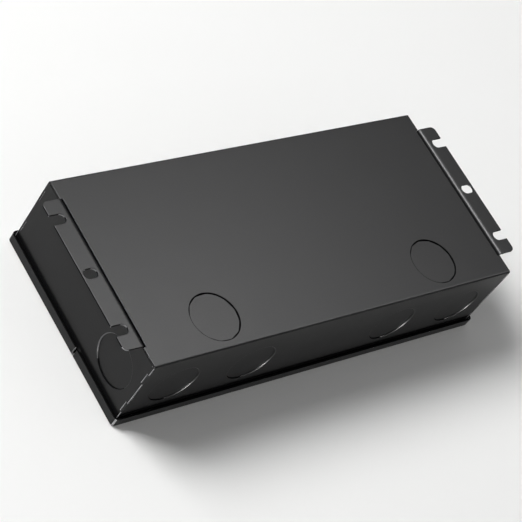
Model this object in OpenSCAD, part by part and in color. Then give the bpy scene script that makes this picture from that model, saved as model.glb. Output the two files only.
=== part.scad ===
// Junction-box LED driver, lying on its covers with its mounting face up.
// A folded steel pan and two eared end plates make the box. A partition parts
// the driver board from a wiring compartment that runs along the front wall.

/* [Box] */
// Length over the end plates
box_l = 200; // [190:1:260]
// Width over the long walls
box_w = 90; // [88:1:120]
// Height from the covers' outer face to the back face
box_h = 41.4; // [40:0.2:56]
// Thickness of the steel sheet
sheet = 0.8; // [0.6:0.1:1]
// Inside radius of the box's tight bends
bend_in = 0.2; // [0.2:0.1:0.8]
// Gap in the welded joints between pan, end plates and partition
joint_gap = 0.1; // [0.05:0.05:0.2]
// Gap between the long walls' foot and the covers
foot_gap = 0.3; // [0.2:0.1:0.6]
// Depth from the front wall's face to the partition
wiring_w = 32.3; // [30:0.1:34]

/* [Corner tabs] */
// Height of each tab on the long walls' ends
tab_h = 5.8; // [4:0.2:7]
// Upper tab's middle, below the back face
tab_drop_upper = 9.1; // [8:0.1:12]
// Lower tab's middle, below the back face
tab_drop_lower = 29.5; // [26:0.1:31]

/* [Ears] */
// Reach of an ear beyond the end plate
ear_reach = 9.4; // [9:0.1:14]
// Width of an ear along the end plate
ear_span = 71; // [66:1:76]
// Inside radius of the ear's bend
ear_bend_in = 1.2; // [1:0.1:3]
// Corner radius of an ear
ear_corner_r = 2.4; // [1:0.1:4]
// Width of the slots that open at the ear's edge
ear_slot_w = 4.6; // [4:0.1:5.5]
// Distance between the two open slots of an ear
ear_slot_pitch = 52.8; // [46:0.2:56]
// Depth of an open slot to the middle of its round end
ear_slot_depth = 4.4; // [4:0.1:5]
// Width of the short slot in the middle of an ear
ear_hole_w = 4.5; // [4:0.1:5]
// Length of the short slot in the middle of an ear
ear_hole_l = 6.4; // [5.4:0.1:6.8]
// Distance from the ear's edge to the short slot's middle
ear_hole_in = 4.05; // [4:0.05:4.4]
// Width and depth of the relief cut beside an ear's bend
ear_relief = 0.4; // [0.3:0.1:1]
// Gap between the back's edge and the bend of an ear
ear_gap = 0.5; // [0.1:0.1:0.8]

/* [Knockouts] */
// Diameter of the knockouts
knockout_d = 22.2; // [20:0.1:24]
// How far a half-sheared knockout is pushed in
knockout_push = 0.5; // [0.2:0.1:0.5]
// Middle of the front wall's and end plates' knockouts, below the back face
knockout_drop = 20.2; // [18:0.1:22]
// Distance of the front wall's inner knockouts from the middle
front_knockout_inner = 40; // [30:1:45]
// Distance of the front wall's outer knockouts from the middle
front_knockout_outer = 80; // [72:1:82]
// Distance of the back's knockouts from the middle
back_knockout_x = 61.5; // [50:0.5:70]
// Distance of the back's knockouts from the front wall's face
back_knockout_in = 14.6; // [14:0.1:16]
// Distance of the end plates' knockouts from the front wall's face
end_knockout_in = 16.2; // [15:0.1:17]

/* [Covers] */
// Gap between a cover's rim and the box
cover_gap = 0.7; // [0.3:0.1:1]
// Height of the covers' rim, from the outer face
rim_h = 5.1; // [4:0.1:7]
// Outer corner radius of the rim, seen from above
rim_corner_r = 2; // [1.8:0.1:3]
// Gap between the two covers
split_gap = 1.2; // [0.6:0.1:1.4]
// Mouth diameter of the dished screw seats
seat_d = 9; // [8.4:0.1:11]
// Depth of the dished screw seats
seat_depth = 1.7; // [1.6:0.1:2.4]
// Width of the end plates' flange that the covers are screwed to
flange_w = 12; // [11:0.5:14]

/* [Screws] */
// Diameter of the cover and board screws
screw_d = 3; // [2.5:0.1:3.5]
// Head diameter of the cover and board screws
head_d = 5.6; // [5:0.1:6]
// Head height of the cover and board screws
head_h = 1.5; // [1.2:0.1:1.5]
// Length of a cover screw's shank
cover_screw_l = 6; // [5:0.5:8]
// Radial gap round a screw in its thread hole
thread_gap = 0.05; // [0.02:0.01:0.1]
// Radial gap round a screw in a clearance hole
hole_gap = 0.3; // [0.2:0.1:0.5]

/* [Board] */
// Thickness of the circuit board
board_t = 1.6; // [1:0.2:2]
// Length of the standoffs that the board hangs from
standoff_l = 6; // [5:0.5:8]
// Diameter of the standoffs
standoff_d = 6; // [5:0.1:7]
// Distance of a board screw from the board's ends
board_screw_in = 5; // [4.5:0.1:6]
// Thickness of the insulating liner
liner_t = 0.4; // [0.2:0.1:0.6]
// Gap round the liner and between stacked pieces
liner_gap = 0.2; // [0.1:0.05:0.3]

/* [Input parts] */
// Diameter of the fuse's can
fuse_d = 8.5; // [7:0.5:9]
// Height of the fuse's can
fuse_h = 7; // [5:0.5:9]
// Diameter of the varistor's disc
varistor_d = 12; // [9:0.5:14]
// Thickness of the varistor's disc
varistor_t = 4.5; // [3.5:0.1:6]
// Length of the filter capacitor
filter_l = 18; // [14:0.5:18]
// Thickness of the filter capacitor
filter_t = 9; // [7:0.5:9]
// Height of the filter capacitor
filter_h = 14; // [11:0.5:17]
// Length of the bridge rectifier
bridge_l = 18; // [15:0.5:19]
// Thickness of the bridge rectifier
bridge_t = 4; // [3.5:0.1:5]
// Height of the bridge rectifier
bridge_h = 15; // [12:0.5:18]

/* [Power parts] */
// Width of the transformer's core
transformer_w = 33; // [30:0.5:34]
// Width of the boost inductor's core
boost_w = 26; // [22:0.5:27]
// Height of the transformer's core
transformer_h = 24; // [20:0.5:26]
// Height of the boost inductor's core
boost_h = 20; // [18:0.5:24]
// Diameter of the bulk capacitors
bulk_d = 18; // [14:0.5:18]
// Height of the bulk capacitors
bulk_h = 25; // [18:0.5:27]
// Diameter of the output capacitors
output_d = 10; // [8:0.5:11]
// Height of the output capacitors
output_h = 20; // [14:0.5:24]
// Outer diameter of the choke's ring core
choke_d = 18; // [15:0.5:19]
// Height of the heat sinks
sink_h = 24; // [21:0.5:26]

/* [Hidden] */
$fn = 64;
cut = 1;

// Levels and faces of the box
plate_out = box_l / 2;
plate_in = plate_out - sheet;
wall_out = box_w / 2;
wall_in = wall_out - sheet;
back_in = box_h - sheet;
ear_top = box_h + sheet;
ear_out = plate_out + ear_reach;
bend_out = bend_in + sheet;
ear_bend_out = ear_bend_in + sheet;
foot_z = sheet + foot_gap;
flange_z = sheet + seat_depth;
knockout_z = box_h - knockout_drop;
tab_drops = [tab_drop_upper, tab_drop_lower];
partition_y = wiring_w - wall_out;
partition_back = partition_y + sheet;
partition_flange_w = 9;
rim_x = plate_out + cover_gap + sheet;
rim_y = wall_out + cover_gap + sheet;
seat_x = plate_in - flange_w / 2;
driver_seat_ys = [partition_back + seat_d, wall_in - seat_d];
wiring_seat_y = (partition_y - wall_in) / 2;

// The board hangs from the back, so its parts grow downwards from its underside
liner_z = back_in - joint_gap - sheet - liner_gap;
board_top = back_in - standoff_l;
board_under = board_top - board_t;
board_edge_gap = 0.8;
board_front = partition_back + board_edge_gap;
board_back = wall_in - 2 * liner_gap - liner_t - board_edge_gap;
board_end_gap = 3.5;
board_x = plate_in - board_end_gap;
board_screw_x = board_x - board_screw_in;
standoff_front_in = 13.5;
board_screw_ys = [board_front + standoff_front_in, board_back - board_screw_in];
row_in = 19;
row_y = board_back - row_in;
front_row_in = 7;
front_row_y = board_front + front_row_in;

// Terminals reach through windows in the partition
terminal_h = 13;
terminal_d = 14;
terminal_pitch = 8;
terminal_reach = 3;
window_gap = 0.3;
wire_hole_d = 4;
wire_hole_l = 6;
terminal_screw_d = 4;
terminal_screw_l = 3;
terminal_screw_sink = 1;
input_poles = 3;
output_poles = 2;
input_terminal_x = -50;
output_terminal_x = 54;
terminal_y = partition_y - terminal_reach;

// Ground screw in the partition, inside the wiring compartment
ground_d = 4;
ground_l = 6;
ground_head_d = 8;
ground_head_h = 2.2;
ground_x = 70;
ground_lift = 8;
ground_z = flange_z + ground_lift;

// Places of the parts along the board, which they keep when the box grows longer
fuse_x = -74;
varistor_x = -26;
choke_x = -75;
filter_x = -55;
boost_x = -30;
input_sink_x = -8;
bulk_x = 5;
transformer_x = 32;
output_sink_x = 55;
output_capacitor_x = 65;
chip_x = -6;
optocoupler_x = 24;

// Shapes shared by several pieces
module along_x(l, x) {
    translate([x, 0, 0])
        rotate([90, 0, 90])
            linear_extrude(l)
                children();
}

module along_y(l, y) {
    translate([0, y + l, 0])
        rotate([90, 0, 0])
            linear_extrude(l)
                children();
}

module span(x0, y0, x1, y1) {
    translate([x0, y0])
        square([x1 - x0, y1 - y0]);
}

module both_sides(axis) {
    children();
    mirror(axis)
        children();
}

// A quarter ring of sheet in the first quadrant, round the origin
module bend(r_in) {
    intersection() {
        difference() {
            circle(r_in + sheet);
            circle(r_in);
        }
        square(r_in + sheet + cut);
    }
}

// A knockout seen from outside: the disc is sheared half through and pushed in
module knockout_recess() {
    translate([0, 0, -knockout_push])
        cylinder(h = knockout_push + cut, d = knockout_d);
}

module knockout_disc() {
    translate([0, 0, -sheet - knockout_push])
        cylinder(h = sheet, d = knockout_d);
}

module at_back_knockouts() {
    for (x = [-back_knockout_x, back_knockout_x])
        translate([x, back_knockout_in - wall_out, box_h])
            children();
}

module at_front_knockouts() {
    for (x = [-front_knockout_outer, -front_knockout_inner, front_knockout_inner, front_knockout_outer])
        translate([x, -wall_out, knockout_z])
            rotate([90, 0, 0])
                children();
}

module at_end_knockout() {
    translate([plate_out, end_knockout_in - wall_out, knockout_z])
        rotate([0, 90, 0])
            children();
}

// A pan-head screw with a cross recess, head down at the origin and shank up
module screw(shank_l, d = screw_d, head = head_d, h = head_h) {
    recess_w = h / 2;
    difference() {
        union() {
            translate([0, 0, -h])
                cylinder(h = h, d1 = head - h / 2, d2 = head);
            cylinder(h = shank_l, d = d);
        }
        for (turn = [0, 90])
            rotate(turn)
                translate([-head / 4, -recess_w / 2, -h - cut])
                    cube([head / 2, recess_w, cut + h / 2]);
    }
}

// A rectangle with true round corners
module round_rect(w, d, r) {
    square([w - 2 * r, d], center = true);
    square([w, d - 2 * r], center = true);
    for (x = [r - w / 2, w / 2 - r], y = [r - d / 2, d / 2 - r])
        translate([x, y])
            circle(r);
}

// Stands a part on the board's underside, growing downwards
module hang(x, y) {
    translate([x, y, board_under])
        rotate([180, 0, 0])
            children();
}

// Folded U of the back and the two long walls, with half-sheared knockouts
module pan_section() {
    both_sides([1, 0]) {
        span(-cut, back_in, wall_out - bend_out, box_h);
        span(wall_in, foot_z, wall_out, box_h - bend_out);
        translate([wall_out - bend_out, box_h - bend_out])
            bend(bend_in);
    }
}

module pan_top_section() {
    intersection() {
        pan_section();
        span(-wall_out, box_h - bend_out, wall_out, box_h + cut);
    }
}

module corner_tabs() {
    for (drop = tab_drops)
        translate([-plate_out, wall_in, box_h - drop - tab_h / 2])
            cube([box_l, sheet, tab_h]);
}

module back_pan() {
    inner_l = 2 * (plate_in - joint_gap);
    notch = ear_span + 2 * joint_gap;
    color("#1c1c1e")
        difference() {
            union() {
                along_x(inner_l, -inner_l / 2)
                    pan_section();
                along_x(box_l, -plate_out)
                    pan_top_section();
                intersection() {
                    both_sides([0, 1, 0])
                        corner_tabs();
                    both_sides([1, 0, 0])
                        translate([plate_in - sheet, -box_w, 0])
                            cube([box_l, 2 * box_w, box_h]);
                }
                at_back_knockouts()
                    knockout_disc();
                at_front_knockouts()
                    knockout_disc();
            }
            both_sides([1, 0, 0])
                translate([plate_in - ear_gap, -notch / 2, back_in - sheet])
                    cube([box_l, notch, 3 * sheet]);
            at_back_knockouts()
                knockout_recess();
            at_front_knockouts()
                knockout_recess();
        }
}

// End plate with its tab notches, and the ear that is bent outwards at its top
module end_plate_outline() {
    top_z = back_in - joint_gap;
    difference() {
        span(-wall_out, foot_z, wall_out, top_z);
        both_sides([1, 0]) {
            span(wall_out - bend_out - joint_gap, box_h - bend_out - joint_gap, box_w, box_h);
            for (drop = tab_drops)
                span(wall_in - joint_gap, box_h - drop - tab_h / 2 - joint_gap,
                    box_w, box_h - drop + tab_h / 2 + joint_gap);
            span(ear_span / 2, ear_top - ear_bend_out - ear_relief, ear_span / 2 + ear_relief, box_h);
            span(-cut, ear_top - ear_bend_out, ear_span / 2 + cut / 2, box_h);
            span(-cut, 0, wall_in - seat_depth, flange_z + bend_out);
        }
    }
}

module ear_outline() {
    slot_x = ear_out - ear_slot_depth;
    hole_x = ear_out - ear_hole_in;
    hole_offset = (ear_hole_l - ear_hole_w) / 2;
    difference() {
        union() {
            span(plate_in + ear_bend_out, -ear_span / 2, ear_out - ear_corner_r, ear_span / 2);
            span(plate_in + ear_bend_out, ear_corner_r - ear_span / 2, ear_out, ear_span / 2 - ear_corner_r);
            for (y = [ear_corner_r - ear_span / 2, ear_span / 2 - ear_corner_r])
                translate([ear_out - ear_corner_r, y])
                    circle(ear_corner_r);
        }
        for (y = [-ear_slot_pitch / 2, ear_slot_pitch / 2]) {
            translate([slot_x, y])
                circle(d = ear_slot_w);
            span(slot_x, y - ear_slot_w / 2, ear_out + cut, y + ear_slot_w / 2);
        }
        for (x = [hole_x - hole_offset, hole_x + hole_offset])
            translate([x, 0])
                circle(d = ear_hole_w);
        span(hole_x - hole_offset, -ear_hole_w / 2, hole_x + hole_offset, ear_hole_w / 2);
    }
}

module ear_bend_section() {
    translate([plate_in + ear_bend_out, ear_top - ear_bend_out])
        mirror([1, 0])
            bend(ear_bend_in);
}

module flange_section() {
    translate([plate_out - bend_out, flange_z + bend_out])
        mirror([0, 1])
            bend(bend_in);
    span(plate_in - flange_w, flange_z, plate_out - bend_out, flange_z + sheet);
}

module at_seats() {
    for (y = concat(driver_seat_ys, [wiring_seat_y]))
        translate([seat_x, y, 0])
            children();
}

module end_plate() {
    flange_l = 2 * (wall_in - seat_depth);
    difference() {
        union() {
            along_x(sheet, plate_in)
                end_plate_outline();
            along_y(ear_span, -ear_span / 2)
                ear_bend_section();
            along_y(flange_l, -flange_l / 2)
                flange_section();
            translate([0, 0, box_h])
                linear_extrude(sheet)
                    ear_outline();
            at_end_knockout()
                knockout_disc();
        }
        at_end_knockout()
            knockout_recess();
        at_seats()
            translate([0, 0, flange_z - cut])
                cylinder(h = sheet + 2 * cut, d = screw_d + 2 * thread_gap);
    }
}

module right_end_plate() {
    color("#1c1c1e")
        end_plate();
}

module left_end_plate() {
    color("#1c1c1e")
        mirror([1, 0, 0])
            end_plate();
}

// Channel between the two compartments, with a window for each terminal
module partition_section() {
    top_z = back_in - joint_gap;
    flange_y = partition_y + partition_flange_w;
    span(partition_y, foot_z + bend_out, partition_back, top_z - bend_out);
    span(partition_y + bend_out, foot_z, flange_y, foot_z + sheet);
    span(partition_y + bend_out, top_z - sheet, flange_y, top_z);
    translate([partition_y + bend_out, top_z - bend_out])
        mirror([1, 0])
            bend(bend_in);
    translate([partition_y + bend_out, foot_z + bend_out])
        rotate(180)
            bend(bend_in);
}

module terminal_window(x, poles) {
    w = poles * terminal_pitch + 2 * window_gap;
    translate([x - w / 2, partition_y - cut, board_under - terminal_h - window_gap])
        cube([w, sheet + 2 * cut, terminal_h + 2 * window_gap]);
}

module partition() {
    l = 2 * (plate_in - ear_gap - sheet);
    flange_room = flange_w + cover_gap;
    color("#b9bdbf")
        difference() {
            along_x(l, -l / 2)
                partition_section();
            both_sides([1, 0, 0])
                translate([plate_in - flange_room, partition_y - cut, 0])
                    cube([flange_room + cut, partition_flange_w + 2 * cut, flange_z + sheet + foot_gap]);
            terminal_window(input_terminal_x, input_poles);
            terminal_window(output_terminal_x, output_poles);
            translate([ground_x, partition_y - cut, ground_z])
                rotate([-90, 0, 0])
                    cylinder(h = sheet + 2 * cut, d = ground_d + 2 * thread_gap);
        }
}

module ground_screw() {
    color("#3f7d4a")
        translate([ground_x, partition_y, ground_z])
            rotate([-90, 0, 0])
                screw(ground_l, ground_d, ground_head_d, ground_head_h);
}

// Cover: a shallow tray with a rim on three sides and dished screw seats.
// It is drawn for the wiring side, with its rim along the front.
module rim_section() {
    square([rim_corner_r - bend_out, sheet]);
    translate([rim_corner_r - bend_out, bend_out])
        mirror([0, 1])
            bend(bend_in);
    span(rim_corner_r - sheet, bend_out, rim_corner_r, rim_h);
}

module tray(free_y) {
    corner_x = rim_x - rim_corner_r;
    corner_y = rim_corner_r - rim_y;
    translate([-corner_x, corner_y, 0])
        cube([2 * corner_x, free_y - corner_y, sheet]);
    translate([0, corner_y, 0])
        rotate([0, 0, -90])
            along_y(2 * corner_x, -corner_x)
                rim_section();
    both_sides([1, 0, 0]) {
        translate([corner_x, 0, 0])
            along_y(free_y - corner_y, corner_y)
                rim_section();
        translate([corner_x, corner_y, 0])
            rotate(-90)
                rotate_extrude(angle = 90)
                    rim_section();
    }
}

module seat_cup() {
    cylinder(h = flange_z, d1 = seat_d + 2 * sheet, d2 = seat_d);
}

module seat_cut() {
    hole_d = screw_d + 2 * hole_gap;
    translate([0, 0, -cut])
        cylinder(h = cut, d = seat_d);
    cylinder(h = seat_depth, d1 = seat_d, d2 = seat_d - 2 * sheet);
    cylinder(h = flange_z + cut, d = hole_d);
}

module at_cover_seats(ys) {
    for (x = [-seat_x, seat_x], y = ys)
        translate([x, y, 0])
            children();
}

module cover(free_y, seat_ys) {
    difference() {
        union() {
            tray(free_y);
            at_cover_seats(seat_ys)
                seat_cup();
        }
        at_cover_seats(seat_ys)
            seat_cut();
    }
}

module driver_cover() {
    color("#1c1c1e")
        mirror([0, 1, 0])
            cover(-partition_back - split_gap / 2, -driver_seat_ys);
}

module wiring_cover() {
    color("#1c1c1e")
        cover(partition_back - split_gap / 2, [wiring_seat_y]);
}

module driver_cover_screws() {
    color("#8d9094")
        at_cover_seats(driver_seat_ys)
            translate([0, 0, seat_depth])
                screw(cover_screw_l);
}

module wiring_cover_screws() {
    color("#8d9094")
        at_cover_seats([wiring_seat_y])
            translate([0, 0, seat_depth])
                screw(cover_screw_l);
}

// Folded insulating sheet over the back and down the rear wall
module at_board_screws() {
    for (x = [-board_screw_x, board_screw_x], y = board_screw_ys)
        translate([x, y, 0])
            children();
}

module insulating_liner() {
    liner_x = plate_in - 2 * liner_gap;
    rear_y = wall_in - liner_gap;
    low_z = flange_z + sheet + cover_screw_l;
    color("#232326")
        difference() {
            along_x(2 * liner_x, -liner_x) {
                span(partition_back + liner_gap, liner_z - liner_t, rear_y, liner_z);
                span(rear_y - liner_t, low_z, rear_y, liner_z);
            }
            at_board_screws()
                translate([0, 0, liner_z - liner_t - cut])
                    cylinder(h = liner_t + 2 * cut, d = standoff_d + 2 * liner_gap);
        }
}

module standoffs() {
    color("#c9a86a")
        at_board_screws()
            translate([0, 0, board_top])
                difference() {
                    cylinder(h = standoff_l, d = standoff_d);
                    translate([0, 0, -cut])
                        cylinder(h = standoff_l, d = screw_d + 2 * thread_gap);
                }
}

module circuit_board() {
    color("#2f6b3c")
        difference() {
            translate([-board_x, board_front, board_under])
                cube([2 * board_x, board_back - board_front, board_t]);
            at_board_screws()
                translate([0, 0, board_under - cut])
                    cylinder(h = board_t + 2 * cut, d = screw_d + 2 * hole_gap);
        }
}

module board_screws() {
    color("#8d9094")
        at_board_screws()
            translate([0, 0, board_under])
                screw(board_t + standoff_l / 2);
}

// Terminal block with a wire entry and a screw well for each pole
module at_poles(x, poles) {
    for (i = [0:poles - 1])
        translate([x + (i - (poles - 1) / 2) * terminal_pitch, terminal_y, board_under - terminal_h])
            children();
}

module terminal(x, poles) {
    w = poles * terminal_pitch;
    screw_y = terminal_d / 2 + terminal_reach / 2;
    well_l = terminal_screw_l + terminal_screw_sink;
    difference() {
        translate([x - w / 2, terminal_y, board_under - terminal_h])
            cube([w, terminal_d, terminal_h]);
        at_poles(x, poles) {
            translate([0, -cut, terminal_h / 2])
                rotate([-90, 0, 0])
                    cylinder(h = wire_hole_l + cut, d = wire_hole_d);
            translate([0, screw_y, -cut])
                cylinder(h = well_l + cut, d = terminal_screw_d + 2 * thread_gap);
        }
    }
}

module input_terminal() {
    color("#e9e7df")
        terminal(input_terminal_x, input_poles);
}

module output_terminal() {
    color("#e9e7df")
        terminal(output_terminal_x, output_poles);
}

module slotted_terminal_screw() {
    slot_w = terminal_screw_d / 4;
    translate([0, terminal_d / 2 + terminal_reach / 2, terminal_screw_sink])
        difference() {
            cylinder(h = terminal_screw_l, d = terminal_screw_d);
            translate([-terminal_screw_d, -slot_w / 2, -cut])
                cube([2 * terminal_screw_d, slot_w, cut + slot_w]);
        }
}

module terminal_screws() {
    color("#b9bdbf") {
        at_poles(input_terminal_x, input_poles)
            slotted_terminal_screw();
        at_poles(output_terminal_x, output_poles)
            slotted_terminal_screw();
    }
}

// Round-can fuse and disc varistor at the mains input
fuse_foot = 1;
lead_d = 1;
lead_h = 2;

module fuse() {
    color("#2b2b2d")
        hang(fuse_x, front_row_y) {
            cylinder(h = fuse_foot, d = fuse_d - 2 * fuse_foot);
            translate([0, 0, fuse_foot])
                cylinder(h = fuse_h, d = fuse_d);
        }
}

module varistor() {
    color("#2f66a8")
        hang(varistor_x, front_row_y) {
            translate([0, varistor_t / 2, lead_h + varistor_d / 2])
                rotate([90, 0, 0])
                    cylinder(h = varistor_t, d = varistor_d);
            for (x = [-varistor_d / 4, varistor_d / 4])
                translate([x, 0, 0])
                    cylinder(h = lead_h + varistor_d / 4, d = lead_d);
        }
}

// Common-mode choke: a ring core with two windings on opposite sides
choke_h = 8;
choke_bore = choke_d / 2;
choke_wire = 1.2;
choke_gap = 0.1;

module choke_core() {
    color("#4a4f48")
        hang(choke_x, row_y)
            translate([0, 0, choke_wire + choke_gap])
                rotate_extrude()
                    span(choke_bore / 2, 0, choke_d / 2, choke_h);
}

module choke_windings() {
    arc = 130;
    color("#b5652f")
        hang(choke_x, row_y)
            for (turn = [-arc / 2, 180 - arc / 2])
                rotate(turn)
                    rotate_extrude(angle = arc)
                        difference() {
                            span(choke_bore / 2 - choke_wire - choke_gap, 0,
                                choke_d / 2 + choke_wire + choke_gap, choke_h + 2 * (choke_wire + choke_gap));
                            span(choke_bore / 2 - choke_gap, choke_wire,
                                choke_d / 2 + choke_gap, choke_wire + choke_h + 2 * choke_gap);
                        }
}

rear_gap = 4;
filter_corner_r = 1;
bridge_room = 9;

module filter_capacitor() {
    color("#d9b23c")
        hang(filter_x, board_back - rear_gap - filter_t / 2)
            linear_extrude(filter_h)
                round_rect(filter_l, filter_t, filter_corner_r);
}

module bridge_rectifier() {
    bevel = bridge_l / 6;
    color("#232325")
        hang(filter_x, board_back - rear_gap - filter_t - bridge_room)
            difference() {
                translate([-bridge_l / 2, -bridge_t / 2, 0])
                    cube([bridge_l, bridge_t, bridge_h]);
                translate([bridge_l / 2, 0, bridge_h])
                    rotate([0, 45, 0])
                        cube([bevel, 2 * bridge_t, bevel], center = true);
            }
}

// Closed E-shaped ferrite core with a round middle post, and its coil
core_yoke = 5;
core_leg = 4.5;
core_depth = 13;
coil_gap = 0.3;

module e_core(w, h) {
    post_d = w / 3;
    for (z = [0, h - core_yoke])
        translate([-w / 2, -core_depth / 2, z])
            cube([w, core_depth, core_yoke]);
    for (x = [-w / 2, w / 2 - core_leg])
        translate([x, -core_depth / 2, 0])
            cube([core_leg, core_depth, h]);
    cylinder(h = h, d = post_d);
}

module coil(w, h, r_in) {
    translate([0, 0, core_yoke + coil_gap])
        rotate_extrude()
            span(r_in, 0, w / 2 - core_leg - coil_gap, h - 2 * (core_yoke + coil_gap));
}

module boost_core() {
    color("#3b3b3f")
        hang(boost_x, row_y)
            e_core(boost_w, boost_h);
}

module boost_winding() {
    color("#b5652f")
        hang(boost_x, row_y)
            coil(boost_w, boost_h, boost_w / 6 + coil_gap);
}

module transformer_core() {
    color("#3b3b3f")
        hang(transformer_x, row_y)
            e_core(transformer_w, transformer_h);
}

bobbin_wall = 1;

module transformer_winding() {
    inset = coil_gap + bobbin_wall;
    color("#c9a227")
        hang(transformer_x, row_y)
            translate([0, 0, core_yoke + 2 * coil_gap + bobbin_wall])
                rotate_extrude()
                    span(transformer_w / 6 + inset + coil_gap, 0,
                        transformer_w / 2 - core_leg - inset,
                        transformer_h - 2 * (core_yoke + 2 * coil_gap + bobbin_wall));
}

module transformer_bobbin() {
    bobbin_h = transformer_h - 2 * (core_yoke + coil_gap);
    bore = transformer_w / 6 + coil_gap;
    color("#26324a")
        hang(transformer_x, row_y)
            translate([0, 0, core_yoke + coil_gap])
                rotate_extrude() {
                    span(bore, 0, bore + bobbin_wall, bobbin_h);
                    for (z = [0, bobbin_h - bobbin_wall])
                        span(bore, z, transformer_w / 2 - core_leg - coil_gap, z + bobbin_wall);
                }
}

// Power devices screwed to upright heat sinks
sink_t = 2;
sink_l = 30;
sink_foot = 3.5;
sink_y = board_back - rear_gap;
device_t = 4.5;
device_w = 10;
device_h = 15;
device_body_h = 9;
device_tab_t = 1.3;
device_lift = 4;
device_hole_up = 12;
device_hole_z = device_lift + device_hole_up;
device_screw_grip = 2;

module heat_sink(x) {
    foot_y = sink_y - sink_l;
    translate([x, foot_y, board_under - sink_h])
        difference() {
            union() {
                cube([sink_t, sink_l, sink_h]);
                translate([0, 0, sink_h - sink_t])
                    cube([sink_foot, sink_l, sink_t]);
            }
            translate([-cut, sink_l / 2, sink_h - device_hole_z])
                rotate([0, 90, 0])
                    cylinder(h = sink_t + 2 * cut, d = screw_d + 2 * thread_gap);
        }
}

module power_device(x) {
    translate([x - device_t, sink_y - sink_l / 2, board_under - device_lift])
        difference() {
            union() {
                translate([0, -device_w / 2, -device_body_h])
                    cube([device_t, device_w, device_body_h]);
                translate([device_t - device_tab_t, -device_w / 2, -device_h])
                    cube([device_tab_t, device_w, device_h]);
                for (i = [-1:1])
                    translate([device_t / 2, i * device_w / 4, -lead_d])
                        cylinder(h = device_lift + lead_d, d = lead_d);
            }
            translate([-cut, 0, device_lift - device_hole_z])
                rotate([0, 90, 0])
                    cylinder(h = device_t + 2 * cut, d = screw_d + 2 * hole_gap);
        }
}

module device_screw(x) {
    translate([x - device_tab_t, sink_y - sink_l / 2, board_under - device_hole_z])
        rotate([0, 90, 0])
            screw(device_tab_t + sink_t + device_screw_grip);
}

module switch_transistor() {
    color("#232325")
        power_device(input_sink_x);
}

module output_rectifier() {
    color("#232325")
        power_device(output_sink_x);
}

module input_heat_sink() {
    color("#a9adb1")
        heat_sink(input_sink_x);
}

module output_heat_sink() {
    color("#a9adb1")
        heat_sink(output_sink_x);
}

module device_screws() {
    color("#8d9094")
        for (x = [input_sink_x, output_sink_x])
            device_screw(x);
}

// Electrolytic capacitor: a sleeved can with a crimp groove and a rounded rim
module electrolytic(d, h) {
    groove = d / 24;
    rim = d / 16;
    rotate_extrude()
        difference() {
            square([d / 2, h]);
            translate([d / 2, d / 6])
                circle(groove);
            translate([d / 2 - rim, h - rim])
                difference() {
                    square(rim + cut);
                    circle(rim);
                }
        }
}

can_gap = 1;

module bulk_capacitors() {
    color("#20283a")
        for (i = [0:1])
            hang(bulk_x, board_back - can_gap - bulk_d / 2 - i * (bulk_d + can_gap))
                electrolytic(bulk_d, bulk_h);
}

module output_capacitors() {
    pitch = output_d + can_gap;
    color("#20283a")
        for (i = [0:2])
            hang(output_capacitor_x + (i % 2) * pitch / 2, board_back - rear_gap - output_d / 2 - i * pitch)
                electrolytic(output_d, output_h);
}

// Small chips that steer the driver and feed back its output
leg_w = 0.5;
leg_l = 1.2;
leg_lift = 0.3;
chip_w = 9.9;
chip_d = 3.9;
chip_h = 1.6;
chip_legs = 16;
chip_leg_pitch = 1.27;
optocoupler_w = 4.6;
optocoupler_d = 6.5;
optocoupler_h = 3.4;
optocoupler_legs = 4;
optocoupler_leg_pitch = 2.54;

module chip(w, d, h, legs, pitch) {
    translate([-w / 2, -d / 2, leg_lift])
        cube([w, d, h]);
    for (i = [0:legs / 2 - 1], side = [-1, 1])
        translate([(i - (legs / 2 - 1) / 2) * pitch, side * (d / 2 + leg_l / 4), leg_l / 2])
            cube([leg_w, leg_l, leg_l], center = true);
}

module control_chip() {
    color("#19191b")
        hang(chip_x, front_row_y)
            chip(chip_w, chip_d, chip_h, chip_legs, chip_leg_pitch);
}

module optocoupler() {
    color("#e9e7df")
        hang(optocoupler_x, front_row_y)
            chip(optocoupler_w, optocoupler_d, optocoupler_h, optocoupler_legs, optocoupler_leg_pitch);
}

back_pan();
left_end_plate();
right_end_plate();
partition();
driver_cover();
wiring_cover();
driver_cover_screws();
wiring_cover_screws();
insulating_liner();
standoffs();
circuit_board();
board_screws();
input_terminal();
output_terminal();
terminal_screws();
ground_screw();
fuse();
varistor();
choke_core();
choke_windings();
filter_capacitor();
bridge_rectifier();
boost_core();
boost_winding();
switch_transistor();
input_heat_sink();
bulk_capacitors();
control_chip();
optocoupler();
transformer_core();
transformer_winding();
transformer_bobbin();
output_rectifier();
output_heat_sink();
device_screws();
output_capacitors();
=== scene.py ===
# LED driver in a black steel junction box, lying on its covers with its mounting face up.
import math

import bmesh
import bpy
from mathutils import Matrix, Vector


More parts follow.
